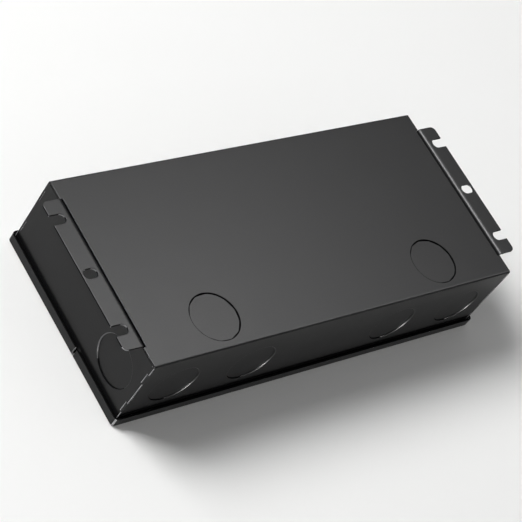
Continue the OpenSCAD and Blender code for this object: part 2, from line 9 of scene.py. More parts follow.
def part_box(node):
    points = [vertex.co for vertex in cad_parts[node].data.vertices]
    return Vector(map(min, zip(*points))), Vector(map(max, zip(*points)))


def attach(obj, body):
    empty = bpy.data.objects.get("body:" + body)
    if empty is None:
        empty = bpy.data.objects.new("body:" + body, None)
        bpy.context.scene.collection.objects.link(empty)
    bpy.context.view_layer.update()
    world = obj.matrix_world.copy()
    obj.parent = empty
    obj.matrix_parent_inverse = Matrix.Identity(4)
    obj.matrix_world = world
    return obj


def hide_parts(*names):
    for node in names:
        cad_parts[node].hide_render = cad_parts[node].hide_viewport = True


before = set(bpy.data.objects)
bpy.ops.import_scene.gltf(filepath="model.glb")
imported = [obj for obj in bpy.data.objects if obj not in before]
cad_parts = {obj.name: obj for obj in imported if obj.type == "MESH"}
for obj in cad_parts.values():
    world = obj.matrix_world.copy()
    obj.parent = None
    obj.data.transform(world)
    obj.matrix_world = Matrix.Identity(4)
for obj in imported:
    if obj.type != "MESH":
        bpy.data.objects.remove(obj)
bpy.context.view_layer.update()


# Camera of the photograph: it looks down on the back face and the wiring side's long wall
# from the left, turned about its own axis so that the box runs up across the picture.
MM = 0.001
PHOTO_SIZE = 522
FOCAL_PIXELS = 1970.3
SENSOR_MM = 36.0
CAMERA_PLACE = Vector((-534.5, -292.8, 597.9)) * MM
CAMERA_AIM = Vector((-6.22, -0.73, 20.7)) * MM
CAMERA_ROLL_DEG = 38.07
camera_data = bpy.data.cameras.new("photo_camera")
camera_data.sensor_width = SENSOR_MM
camera_data.lens = FOCAL_PIXELS / PHOTO_SIZE * SENSOR_MM
camera_data.clip_end = 20
camera = bpy.data.objects.new("photo_camera", camera_data)
camera_turn = (CAMERA_AIM - CAMERA_PLACE).to_track_quat("-Z", "Y").to_matrix().to_4x4()
camera_roll = Matrix.Rotation(math.radians(CAMERA_ROLL_DEG), 4, "Z")
camera.matrix_world = Matrix.Translation(CAMERA_PLACE) @ camera_turn @ camera_roll
bpy.context.collection.objects.link(camera)
bpy.context.scene.camera = camera
bpy.context.scene.view_settings.view_transform = "Standard"


# Studio: a sheet of pale paper under a softbox that hangs above and behind the box, so the back
# face takes the highlight and the wiring side's wall stays dark. The world is a white surround.
def linear(colour):
    """A hex sRGB colour as linear red, green, blue and alpha."""
    channels = [int(colour[i:i + 2], 16) / 255 for i in (1, 3, 5)]
    return tuple(c / 12.92 if c <= 0.04045 else ((c + 0.055) / 1.055) ** 2.4 for c in channels) + (1.0,)


def feed(node, feeds):
    """Gives each named input another node's output, a list of outputs, or a plain value."""
    for name, given in feeds.items():
        for one in given if isinstance(given, list) else [given]:
            if isinstance(one, bpy.types.NodeSocket):
                node.id_data.links.new(one, node.inputs[name])
            else:
                node.inputs[name].default_value = one


def add_node(tree, kind, feeds=None, **settings):
    """Adds a node with its settings and feeds."""
    made = tree.nodes.new(kind)
    for name, value in settings.items():
        setattr(made, name, value)
    feed(made, feeds or {})
    return made


FLOOR_HALF = 4.0
SURROUND_FILL = 0.26
CEILING_FROM = 0.08
CEILING_LEVEL = 0.08
floor_mesh = bpy.data.meshes.new("floor")
corners = [(x * FLOOR_HALF, y * FLOOR_HALF, 0) for x, y in ((-1, -1), (1, -1), (1, 1), (-1, 1))]
floor_mesh.from_pydata(corners, [], [(0, 1, 2, 3)])
floor = bpy.data.objects.new("floor", floor_mesh)
bpy.context.collection.objects.link(floor)
# Seamless paper: white and quite matt, so that it shows nothing but the box's shadow.
paper = bpy.data.materials.new("seamless_paper")
paper.use_nodes = True
feed(paper.node_tree.nodes["Principled BSDF"],
     {"Base Color": linear("#fbfbfa"), "Roughness": 0.9, "Specular IOR Level": 0.0})
floor_mesh.materials.append(paper)

# The eye, gloss and glass see a white horizon under a dark ceiling, and the rest gets a weak fill.
world = bpy.data.worlds.new("white_surround")
world.use_nodes = True
sky = world.node_tree
sky.nodes.clear()
path = add_node(sky, "ShaderNodeLightPath")
seen = add_node(sky, "ShaderNodeMath", {0: path.outputs["Is Camera Ray"], 1: path.outputs["Is Glossy Ray"]},
                operation="MAXIMUM")
seen = add_node(sky, "ShaderNodeMath", {0: seen.outputs[0], 1: path.outputs["Is Transmission Ray"]},
                operation="MAXIMUM")
toward = add_node(sky, "ShaderNodeSeparateXYZ", {0: add_node(sky, "ShaderNodeTexCoord").outputs["Generated"]})
ceiling = add_node(sky, "ShaderNodeMapRange",
                   {"Value": toward.outputs["Z"], "From Min": 0.0, "From Max": CEILING_FROM, "To Min": 1.0,
                    "To Max": CEILING_LEVEL}, interpolation_type="SMOOTHSTEP")
level = add_node(sky, "ShaderNodeMix",
                 {"Factor": seen.outputs[0], "A": SURROUND_FILL, "B": ceiling.outputs[0]})
backdrop = add_node(sky, "ShaderNodeBackground", {"Color": linear("#ffffff"), "Strength": level.outputs[0]})
add_node(sky, "ShaderNodeOutputWorld", {"Surface": backdrop.outputs[0]})
bpy.context.scene.world = world


def softbox(name, direction, distance, size, watts, card=False):
    """A rectangular area lamp that faces the box from a direction. A card shows in the gloss
    of a surface only, and the key lamp lights the rest."""
    lamp = bpy.data.lights.new(name, "AREA")
    lamp.shape = "RECTANGLE"
    lamp.size, lamp.size_y = size
    lamp.energy = watts
    holder = bpy.data.objects.new(name, lamp)
    place = Vector(direction).normalized() * distance
    holder.matrix_world = Matrix.Translation(place) @ place.to_track_quat("Z", "Y").to_matrix().to_4x4()
    holder.visible_camera = False
    holder.visible_diffuse = not card
    holder.visible_glossy = card
    bpy.context.collection.objects.link(holder)


softbox("key_softbox", (-0.45, 0.55, 0.70), distance=2.5, size=(1.2, 1.2), watts=66.0)
softbox("back_face_card", (0.46, 0.25, 0.85), distance=1.3, size=(0.34, 0.34), watts=8.8, card=True)
softbox("ear_bend_card", (-0.07, 0.35, 0.93), distance=1.3, size=(0.12, 0.5), watts=42.0, card=True)
softbox("fold_card", (0.63, -0.2, 0.75), distance=1.3, size=(0.3, 0.12), watts=8.0, card=True)
softbox("front_edge_card", (-0.6, -0.78, 0.017), distance=1.2, size=(1.2, 0.03), watts=44.0, card=True)


# Powder-coated steel sheet: the pan, the two end plates and the two covers are stamped and
# folded from 0.8 mm steel, spot welded, then sprayed with a fine satin black powder.
# The grain is drawn coarser than the real tenth of a millimetre, so that it shows.
COAT_GRAIN_MM = 0.7
COAT_RELIEF_MM = 0.06
COAT_CLOUD_MM = 14.0
COAT_ROUGHNESS = (0.385, 0.405)
COAT_IOR = 1.28
# The pale grey is a painted highlight, laid on upright corners, cut edges and knockout edges.
COAT_DARK, COAT_LIGHT, PAINTED_HIGHLIGHT = "#0c0c0d", "#161617", "#b4b4b6"
RIM_TOP_MM = 5.2
# Painted shade: gloss is taken away from the rim's top up to the first height and comes back by the second.
PAINTED_SHADE_FROM_MM, PAINTED_SHADE_TO_MM = 6.5, 8.5
# Nearly all of a noise texture's values lie between these two.
NOISE_LOW, NOISE_HIGH = 0.3, 0.7


def coat_material():
    """Satin black powder coat: nearly no colour of its own, a soft sheen and a fine orange peel.
    It is pale grey where a face attribute marks a painted highlight, its gloss follows the face
    attribute sheen, which also paints highlights and shade, and its gloss is taken away just
    above the covers' rim as painted shade."""
    coat = bpy.data.materials.new("satin_black_powder_coat")
    coat.use_nodes = True
    tree = coat.node_tree
    place = add_node(tree, "ShaderNodeTexCoord").outputs["Object"]
    grain = add_node(tree, "ShaderNodeTexNoise",
                     {"Vector": place, "Scale": 1 / (COAT_GRAIN_MM * MM), "Detail": 3.0,
                      "Roughness": 0.6}).outputs["Fac"]
    cloud = add_node(tree, "ShaderNodeTexNoise",
                     {"Vector": place, "Scale": 1 / (COAT_CLOUD_MM * MM), "Detail": 2.0})
    gloss = add_node(tree, "ShaderNodeMapRange",
                     {"Value": cloud.outputs["Fac"], "From Min": NOISE_LOW, "From Max": NOISE_HIGH,
                      "To Min": COAT_ROUGHNESS[0], "To Max": COAT_ROUGHNESS[1]})
    speck = add_node(tree, "ShaderNodeMix",
                     {"Factor": grain, "A": linear(COAT_DARK), "B": linear(COAT_LIGHT)}, data_type="RGBA")
    # Painted highlight: the pale grey over the faces that the attribute marks.
    painted_highlight = add_node(tree, "ShaderNodeAttribute", attribute_name="painted_highlight")
    colour = add_node(tree, "ShaderNodeMix",
                      {"Factor": painted_highlight.outputs["Fac"], "A": speck.outputs["Result"], "B": linear(PAINTED_HIGHLIGHT)},
                      data_type="RGBA")
    # Painted shade: no gloss from the rim's top to a little above it, fading back in.
    height = add_node(tree, "ShaderNodeSeparateXYZ", {0: place}).outputs["Z"]
    above = add_node(tree, "ShaderNodeMapRange",
                     {"Value": height, "From Min": PAINTED_SHADE_FROM_MM * MM, "From Max": PAINTED_SHADE_TO_MM * MM},
                     interpolation_type="SMOOTHSTEP")
    on_rim = add_node(tree, "ShaderNodeMath", {0: height, 1: RIM_TOP_MM * MM}, operation="LESS_THAN")
    outside_painted_shade = add_node(tree, "ShaderNodeMath", {0: above.outputs[0], 1: on_rim.outputs[0]}, operation="MAXIMUM")
    # The face attribute sheen scales the gloss; where it is raised or nil it paints a highlight or shade.
    sheen = add_node(tree, "ShaderNodeAttribute", attribute_name="sheen")
    gleam = add_node(tree, "ShaderNodeMath", {0: sheen.outputs["Fac"], 1: outside_painted_shade.outputs[0]},
                     operation="MULTIPLY")
    peel = add_node(tree, "ShaderNodeBump",
                    {"Height": grain, "Strength": 0.25, "Distance": COAT_RELIEF_MM * MM})
    feed(tree.nodes["Principled BSDF"],
         {"Base Color": colour.outputs["Result"], "Roughness": gloss.outputs[0], "IOR": COAT_IOR,
          "Specular IOR Level": gleam.outputs[0], "Normal": peel.outputs[0]})
    return coat


powder_coat = coat_material()
EDGE_MM = 0.22
LIP_MM = 0.4
SHARP_DEG = 40
FLAT_DEG = 0.5
WELD_MM = 0.001
KNOCKOUT_R_MM = 11.1
BACK_KNOCKOUT_X_MM, BACK_KNOCKOUT_Y_MM = 61.5, -30.4
FRONT_KNOCKOUTS_X_MM = (40.0, 80.0)
END_KNOCKOUT_Y_MM = -28.8
WALL_KNOCKOUT_Z_MM = 21.2
box_low, box_high = (Vector(corner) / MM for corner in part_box("back_pan"))
knockouts = [Vector((x, END_KNOCKOUT_Y_MM, WALL_KNOCKOUT_Z_MM)) for x in (box_low.x, box_high.x)]
for side in (-1, 1):
    knockouts.append(Vector((side * BACK_KNOCKOUT_X_MM, BACK_KNOCKOUT_Y_MM, box_high.z)))
    knockouts += [Vector((side * x, box_low.y, WALL_KNOCKOUT_Z_MM)) for x in FRONT_KNOCKOUTS_X_MM]


def on_lip(place):
    """Whether a place lies on the edge of a knockout."""
    return any(abs((place / MM - middle).length - KNOCKOUT_R_MM) < LIP_MM for middle in knockouts)


# Gloss levels: the coat's own, a raised one that paints a highlight on knockout edges, and none, which paints
# shade.
PLAIN_SHEEN, LIP_PAINTED_HIGHLIGHT_SHEEN, PAINTED_SHADE_NO_SHEEN = 0.5, 1.6, 0.0
# How pale the painted highlight makes knockout edges, the ears' upright edges and the upright corners.
LIP_PAINTED_HIGHLIGHT, EAR_PAINTED_HIGHLIGHT, FULL_PAINTED_HIGHLIGHT = 0.3, 0.7, 1.0
# How far a face turns to a side before it counts as facing it, where one is straight at it.
PLATE_TURN, COVER_TURN, NEVER = 0.3, 0.85, 2.0
LEFT_TURN, UP_TURN, PLATE_UP_TURN, PLATE_UP_SLOPE = 0.1, 0.35, 0.2, 1.2
SPLIT_TURN, RIM_UP_TURN = 0.3, 0.3
UPRIGHT, SHEARED_UPRIGHT = 0.4, 0.6
BACK_ABOVE_MM = 40.0


def pan_lip(place, n):
    """Sheen of the pan's knockout edges: none on the back, and on the wiring side none where they face
    up, as painted shade, and a raised gloss where they face the left end, as a painted highlight."""
    on_back = place.z > BACK_ABOVE_MM
    if not on_back and n.x < -LEFT_TURN:
        return 0.0, LIP_PAINTED_HIGHLIGHT_SHEEN
    return 0.0, PAINTED_SHADE_NO_SHEEN if on_back or n.z > UP_TURN else PLAIN_SHEEN


def plate_lip(place, n):
    """Painted highlight and sheen of an end plate's knockout edges: pale grey as a painted highlight
    where they face the wiring side, and no gloss where they face up, as painted shade."""
    if 2 * abs(n.x * n.y) > PLATE_TURN and abs(n.z) < UPRIGHT and n.y < 0:
        return LIP_PAINTED_HIGHLIGHT, PLAIN_SHEEN
    return 0.0, PAINTED_SHADE_NO_SHEEN if n.z > max(PLATE_UP_TURN, -PLATE_UP_SLOPE * n.y) else PLAIN_SHEEN


CORNER_BEYOND_MM = 42.0
RIM_BEYOND_MM = 100.6
RIM_EDGE_MM = 4.5
EAR_BEYOND_MM = 101.8
SPLIT_REACH_MM = 0.9
split_y = (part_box("wiring_cover")[1][1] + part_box("driver_cover")[0][1]) / 2 / MM


def painted_highlight_and_sheen(face, highlight_from, lip):
    """How much painted highlight a face gets, and how much its coat shines. Upright corners that turn
    far enough to a side, the ears' upright edges that face the wiring side and the cut end at the
    covers' split get a pale painted highlight, and the ears' cut edges and the rim's top edge lose
    their gloss as painted shade."""
    place, n = face.center / MM, face.normal
    if lip and on_lip(face.center):
        return lip(place, n)
    # Painted highlight: the cut end at the covers' split and the upright corners are pale grey.
    if abs(place.y - split_y) < SPLIT_REACH_MM and abs(place.x) > RIM_BEYOND_MM and n.y < -SPLIT_TURN:
        return FULL_PAINTED_HIGHLIGHT, PLAIN_SHEEN
    on_ear = abs(place.x) > EAR_BEYOND_MM
    if 2 * abs(n.x * n.y) > highlight_from and abs(n.z) < UPRIGHT:
        if on_ear and n.y < 0:
            return EAR_PAINTED_HIGHLIGHT, PLAIN_SHEEN
        if not on_ear and abs(place.y) > CORNER_BEYOND_MM:
            return FULL_PAINTED_HIGHLIGHT, PLAIN_SHEEN
    # Painted shade: the rim's top edge and the ears' upright cut edges get no gloss.
    outside = abs(place.x) > box_high.x or abs(place.y) > box_high.y
    rim_top = outside and RIM_EDGE_MM < place.z < RIM_TOP_MM and n.z > RIM_UP_TURN
    painted_shade_ear_edge = on_ear and abs(n.z) < SHEARED_UPRIGHT
    return 0.0, PAINTED_SHADE_NO_SHEEN if rim_top or painted_shade_ear_edge else PLAIN_SHEEN


def add_piece(name, mesh, node):
    """Sets a mesh in a CAD node's place."""
    piece = bpy.data.objects.new(name, mesh)
    bpy.context.collection.objects.link(piece)
    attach(piece, "root")
    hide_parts(node)
    return piece


def coated_sheet(node, highlight_from, lip=None):
    """A CAD sheet with its outer edges rounded by the powder, and painted highlight and shade marked face by
    face.
    """
    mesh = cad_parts[node].data.copy()
    form = bmesh.new()
    form.from_mesh(mesh)
    bmesh.ops.remove_doubles(form, verts=form.verts, dist=WELD_MM * MM)
    bmesh.ops.dissolve_limit(form, angle_limit=math.radians(FLAT_DEG), verts=form.verts, edges=form.edges)
    bmesh.ops.triangulate(form, faces=form.faces)
    sharp = [e for e in form.edges if e.calc_face_angle(0) > math.radians(SHARP_DEG)]
    plain, lips = [], []
    for edge in sharp:
        edge.smooth = False
        if edge.is_convex:
            (lips if on_lip((edge.verts[0].co + edge.verts[1].co) / 2) else plain).append(edge)
    for edges, width in ((plain, EDGE_MM), (lips, LIP_MM)):
        bmesh.ops.bevel(form, geom=edges, offset=width * MM, segments=3, profile=0.5, affect="EDGES",
                        clamp_overlap=False)
    form.normal_update()
    form.to_mesh(mesh)
    form.free()
    # Per face: the pale painted highlight, and the sheen, which also paints highlights and shade.
    painted_highlight = mesh.attributes.new("painted_highlight", "FLOAT", "FACE")
    sheen = mesh.attributes.new("sheen", "FLOAT", "FACE")
    for face in mesh.polygons:
        painted_highlight.data[face.index].value, sheen.data[face.index].value = painted_highlight_and_sheen(face, highlight_from, lip)
    mesh.materials.clear()
    mesh.materials.append(powder_coat)
    mesh.shade_smooth()
    piece = add_piece("coated_" + node, mesh, node)
    flat = piece.modifiers.new("flat_faces", "WEIGHTED_NORMAL")
    flat.weight = 100
    flat.keep_sharp = True


coated_sheet("back_pan", NEVER, pan_lip)
coated_sheet("left_end_plate", PLATE_TURN, plate_lip)
coated_sheet("right_end_plate", PLATE_TURN, plate_lip)
coated_sheet("driver_cover", COVER_TURN)
coated_sheet("wiring_cover", COVER_TURN)


# Partition: a channel folded from zinc-plated steel and spot welded to the back. It parts the
# wiring compartment from the board, and the covers are screwed on below it.
def surface(name, dark, light, grain_mm, roughness, metallic=0.0, relief_mm=0.01, stretch=(1, 1, 1)):
    """A material whose colour, roughness and relief follow one grain of a given size."""
    made = bpy.data.materials.new(name)
    made.use_nodes = True
    tree = made.node_tree
    place = add_node(tree, "ShaderNodeTexCoord").outputs["Object"]
    along = add_node(tree, "ShaderNodeMapping", {"Vector": place, "Scale": stretch})
    grain = add_node(tree, "ShaderNodeTexNoise",
                     {"Vector": along.outputs[0], "Scale": 1 / (grain_mm * MM), "Detail": 4.0,
                      "Roughness": 0.6}).outputs["Fac"]
    colour = add_node(tree, "ShaderNodeMix", {"Factor": grain, "A": linear(dark), "B": linear(light)},
                      data_type="RGBA")
    gloss = add_node(tree, "ShaderNodeMapRange",
                     {"Value": grain, "From Min": NOISE_LOW, "From Max": NOISE_HIGH,
                      "To Min": roughness[0], "To Max": roughness[1]})
    bump = add_node(tree, "ShaderNodeBump", {"Height": grain, "Strength": 0.4, "Distance": relief_mm * MM})
    feed(tree.nodes["Principled BSDF"],
         {"Base Color": colour.outputs["Result"], "Roughness": gloss.outputs[0], "Metallic": metallic,
          "Normal": bump.outputs[0]})
    return made


def pattern(material, factor, colour):
    """Lays a colour over a material's own where a factor says so."""
    shader = material.node_tree.nodes["Principled BSDF"]
    own = shader.inputs["Base Color"].links[0].from_socket
    over = add_node(material.node_tree, "ShaderNodeMix", {"Factor": factor, "A": own, "B": linear(colour)},
                    data_type="RGBA")
    feed(shader, {"Base Color": over.outputs["Result"]})


def dress(node, material):
    """Gives a CAD node a material in place of its plain one."""
    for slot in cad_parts[node].material_slots:
        slot.material = material


# Zinc spangle: pale crystals a few millimetres wide, each a little lighter or darker.
SPANGLE_MM = 4.0
SPANGLE_SHARE = 0.5
zinc_sheet = surface("zinc_plated_sheet", "#8f9396", "#b4b7b9", grain_mm=0.8,
                     roughness=(0.32, 0.5), metallic=1.0)
zinc = zinc_sheet.node_tree
zinc_place = add_node(zinc, "ShaderNodeTexCoord").outputs["Object"]
crystal = add_node(zinc, "ShaderNodeTexVoronoi", {"Vector": zinc_place, "Scale": 1 / (SPANGLE_MM * MM)})
shade = add_node(zinc, "ShaderNodeSeparateColor", {"Color": crystal.outputs["Color"]})
some = add_node(zinc, "ShaderNodeMath", {0: shade.outputs[0], 1: SPANGLE_SHARE}, operation="MULTIPLY")
pattern(zinc_sheet, some.outputs[0], "#d3d5d6")
dress("partition", zinc_sheet)


# Screws: cold-formed steel pan heads with a cross recess and a rolled thread, three millimetres
# thick. They hold the covers in dished seats, and the same screw holds the board and the devices.
HEAD_D_MM, HEAD_H_MM, HEAD_TAPER_MM = 5.6, 1.5, 0.35
DOME_PER_MM = 0.06
FACE_BELOW_MM = 0.01
RECESS_L_MM, RECESS_W_MM, RECESS_DEPTH_MM = 2.8, 0.75, 0.75
SHANK_D_MM = 3.0
THREAD_PITCH_MM, THREAD_DEPTH_MM = 0.5, 0.2
# Bright zinc: a pale metal with a close gloss and a faint cloud.
screw_zinc = surface("zinc_plated_screw", "#9a9da1", "#c6c9cb", grain_mm=0.35,
                     roughness=(0.22, 0.36), metallic=1.0, relief_mm=0.004)


def grow(name, points, sizes, material, build, turn=(0, 0, 0)):
    """Stands what a Geometry Nodes group builds, sized in millimetres, on every point, and
    gives back the plain mesh."""
    kinds = {int: "NodeSocketInt", float: "NodeSocketFloat", tuple: "NodeSocketVector"}
    tree = bpy.data.node_groups.new(name, "GeometryNodeTree")
    tree.interface.new_socket("Geometry", in_out="INPUT", socket_type="NodeSocketGeometry")
    for label, value in sizes.items():
        tree.interface.new_socket(label, in_out="INPUT", socket_type=kinds[type(value)]).default_value = value
    tree.interface.new_socket("Geometry", in_out="OUTPUT", socket_type="NodeSocketGeometry")
    given = add_node(tree, "NodeGroupInput").outputs
    stood = add_node(tree, "GeometryNodeInstanceOnPoints",
                     {"Points": given["Geometry"], "Instance": build(tree, given), "Rotation": turn,
                      "Scale": (MM, MM, MM)})
    solid = add_node(tree, "GeometryNodeRealizeInstances", {"Geometry": stood.outputs[0]})
    coated = add_node(tree, "GeometryNodeSetMaterial", {"Geometry": solid.outputs[0], "Material": material})
    add_node(tree, "NodeGroupOutput", {"Geometry": coated.outputs[0]})
    seeds = bpy.data.meshes.new(name)
    seeds.from_pydata([Vector(p) * MM for p in points], [], [])
    maker = bpy.data.objects.new(name, seeds)
    bpy.context.collection.objects.link(maker)
    maker.modifiers.new(name, "NODES").node_group = tree
    made = bpy.data.meshes.new_from_object(maker.evaluated_get(bpy.context.evaluated_depsgraph_get()))
    bpy.data.objects.remove(maker)
    return made


def screw_sizes(shank_l):
    """A screw's named sizes. Its seat is at the origin, with the head below it and the shank above."""
    thread_l = shank_l - 2 * THREAD_DEPTH_MM
    return {"Seat radius": HEAD_D_MM / 2, "Face radius": HEAD_D_MM / 2 - HEAD_TAPER_MM,
            "Head height": HEAD_H_MM, "Head place": (0, 0, -HEAD_H_MM), "Dome per mm": DOME_PER_MM,
            "Recess across": (RECESS_L_MM, RECESS_W_MM, 2 * RECESS_DEPTH_MM),
            "Recess along": (RECESS_W_MM, RECESS_L_MM, 2 * RECESS_DEPTH_MM),
            "Core radius": SHANK_D_MM / 2 - THREAD_DEPTH_MM, "Shank length": shank_l,
            "Shank place": (0, 0, shank_l / 2), "Thread depth": THREAD_DEPTH_MM, "Thread length": thread_l,
            "Thread turns": thread_l / THREAD_PITCH_MM, "Thread place": (0, 0, THREAD_DEPTH_MM)}


def pan_head_screw(tree, given):
    """A domed head with a cross recess, and a shank with a helix of thread round it."""
    blank = add_node(tree, "GeometryNodeMeshCone",
                     {"Radius Top": given["Seat radius"], "Radius Bottom": given["Face radius"],
                      "Depth": given["Head height"], "Vertices": 48, "Fill Segments": 6})
    spot = add_node(tree, "GeometryNodeInputPosition").outputs[0]
    height = add_node(tree, "ShaderNodeSeparateXYZ", {0: spot}).outputs["Z"]
    low = add_node(tree, "FunctionNodeCompare", {"A": height, "B": FACE_BELOW_MM}, operation="LESS_THAN")
    out = add_node(tree, "ShaderNodeVectorMath", {0: spot}, operation="LENGTH").outputs["Value"]
    square = add_node(tree, "ShaderNodeMath", {0: out, 1: out}, operation="MULTIPLY")
    rise = add_node(tree, "ShaderNodeMath", {0: square.outputs[0], 1: given["Dome per mm"]},
                    operation="MULTIPLY")
    dome = add_node(tree, "ShaderNodeCombineXYZ", {"Z": rise.outputs[0]})
    domed = add_node(tree, "GeometryNodeSetPosition",
                     {"Geometry": blank.outputs[0], "Selection": low.outputs[0], "Offset": dome.outputs[0]})
    arms = [add_node(tree, "GeometryNodeMeshCube", {"Size": given[label]}).outputs[0]
            for label in ("Recess across", "Recess along")]
    cross = add_node(tree, "GeometryNodeMeshBoolean", {"Mesh 1": domed.outputs[0], "Mesh 2": arms},
                     operation="DIFFERENCE", solver="MANIFOLD")
    head = add_node(tree, "GeometryNodeTransform",
                    {"Geometry": cross.outputs[0], "Translation": given["Head place"]})
    core = add_node(tree, "GeometryNodeMeshCylinder",
                    {"Radius": given["Core radius"], "Depth": given["Shank length"], "Vertices": 32})
    shank = add_node(tree, "GeometryNodeTransform",
                     {"Geometry": core.outputs[0], "Translation": given["Shank place"]})
    helix = add_node(tree, "GeometryNodeCurveSpiral",
                     {"Rotations": given["Thread turns"], "Start Radius": given["Core radius"],
                      "End Radius": given["Core radius"], "Height": given["Thread length"], "Resolution": 24})
    ridge = add_node(tree, "GeometryNodeCurvePrimitiveCircle",
                     {"Resolution": 4, "Radius": given["Thread depth"]})
    swept = add_node(tree, "GeometryNodeCurveToMesh",
                     {"Curve": helix.outputs[0], "Profile Curve": ridge.outputs[0], "Fill Caps": True})
    thread = add_node(tree, "GeometryNodeTransform",
                      {"Geometry": swept.outputs[0], "Translation": given["Thread place"]})
    pieces = [head.outputs[0], shank.outputs[0], thread.outputs[0]]
    return add_node(tree, "GeometryNodeJoinGeometry", {"Geometry": pieces}).outputs[0]


def screws(node, shank_l, lying=False):
    """Puts a screw wherever the CAD node has one: upright at the corners of its box, or lying
    along it at both ends."""
    low, high = (Vector(corner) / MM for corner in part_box(node))
    middle = (low + high) / 2
    head_r = HEAD_D_MM / 2
    if lying:
        seats = [(low.x + HEAD_H_MM, middle.y, middle.z), (high.x - shank_l, middle.y, middle.z)]
        turn = (0, math.pi / 2, 0)
    else:
        rows = (low.y + head_r, high.y - head_r) if high.y - low.y > 3 * head_r else (middle.y,)
        seats = [(x, y, low.z + HEAD_H_MM) for x in (low.x + head_r, high.x - head_r) for y in rows]
        turn = (0, 0, 0)
    mesh = grow(node, seats, screw_sizes(shank_l), screw_zinc, pan_head_screw, turn)
    add_piece("threaded_" + node, mesh, node)


screws("driver_cover_screws", shank_l=6.0)
screws("wiring_cover_screws", shank_l=6.0)


# Insulating liner: one black polyester film, folded over the back and down the rear wall, so that
# no lead on the board can reach the steel.
# Black film: smooth, half glossy and slightly wavy.
film = surface("black_insulating_film", "#121214", "#232327", grain_mm=6.0,
               roughness=(0.35, 0.55), relief_mm=0.05)
dress("insulating_liner", film)


# Circuit board: glass-fibre laminate under green solder mask, hung from the back on turned brass
# standoffs with a screw in each.
# Turned brass: warm yellow, with the fine rings that the lathe leaves.
brass = surface("turned_brass", "#9b7a35", "#d0b066", grain_mm=0.5, roughness=(0.2, 0.36), metallic=1.0,
                stretch=(1, 1, 8))
dress("standoffs", brass)
# Solder mask: glossy green, with the copper runs under it showing as paler lines.
RUN_LENGTH_MM, RUN_PITCH_MM, RUN_W_MM = 7.0, 1.8, 0.25
solder_mask = surface("green_solder_mask", "#143a20", "#23603a", grain_mm=1.5, roughness=(0.25, 0.42))
mask_place = add_node(solder_mask.node_tree, "ShaderNodeTexCoord").outputs["Object"]
runs = add_node(solder_mask.node_tree, "ShaderNodeTexBrick",
                {"Vector": mask_place, "Scale": 1 / MM, "Mortar Size": RUN_W_MM, "Brick Width": RUN_LENGTH_MM,
                 "Row Height": RUN_PITCH_MM})
pattern(solder_mask, runs.outputs["Fac"], "#3d8452")
dress("circuit_board", solder_mask)
screws("board_screws", shank_l=4.6)


# Wire terminals: moulded nylon blocks, soldered to the board, that reach through the partition into
# the wiring compartment, with a slotted screw over each wire. The ground screw in the sheet is painted.
# Terminal plastic: off-white, half matt and faintly mottled.
terminal_plastic = surface("white_terminal_plastic", "#d2cfc4", "#ebe9e1", grain_mm=0.5,
                           roughness=(0.42, 0.6))
dress("input_terminal", terminal_plastic)
dress("output_terminal", terminal_plastic)
# Nickel plate: a warm bright grey with a close gloss.
nickel = surface("nickel_plated_screw", "#a9a59b", "#d0ccc2", grain_mm=0.3,
                 roughness=(0.18, 0.32), metallic=1.0)
dress("terminal_screws", nickel)
# Green paint: a thin glossy coat, paler where it is thin.
green_paint = surface("green_painted_screw", "#1d5a30", "#2e8247", grain_mm=0.4, roughness=(0.28, 0.45))
dress("ground_screw", green_paint)


# Mains input: a round moulded fuse, a dipped disc varistor, a boxed film capacitor and a choke,
# whose ring core carries two windings of copper wire. All stand on the board and are soldered.
# Moulded epoxy: a dull black with the fine texture of its mould.
black_epoxy = surface("black_moulded_epoxy", "#111112", "#212123", grain_mm=0.3, roughness=(0.38, 0.58))
dress("fuse", black_epoxy)
# Dipped epoxy: a glossy blue with soft ripples, where it ran before it set.
blue_epoxy = surface("blue_dipped_epoxy", "#1c4680", "#356fb2", grain_mm=1.2,
                     roughness=(0.22, 0.4), relief_mm=0.03)
dress("varistor", blue_epoxy)
# Box plastic: an even yellow with a half gloss.
box_plastic = surface("yellow_box_plastic", "#bd942a", "#dcb648", grain_mm=0.8, roughness=(0.35, 0.5))
dress("filter_capacitor", box_plastic)
# Sintered ferrite: a dry dark grey with a fine pitted grain.
ferrite = surface("grey_ferrite", "#262729", "#3f4043", grain_mm=0.4,
                  roughness=(0.55, 0.78), relief_mm=0.02)
dress("choke_core", ferrite)
# Enamelled copper: a clear reddish varnish over bright wire.
copper = surface("enamelled_copper_wire", "#7c3a17", "#c27237", grain_mm=0.6,
                 roughness=(0.18, 0.32), metallic=0.85)
CHOKE_SWEEP = 2.05
CHOKE_SIZES = {"Turns": 8, "Sweep": CHOKE_SWEEP, "First start": -CHOKE_SWEEP / 2,
               "Second start": math.pi - CHOKE_SWEEP / 2, "Middle radius": 6.75, "Turn width": 5.9,
               "Turn height": 9.4, "Bend radius": 0.9, "Wire radius": 0.6}


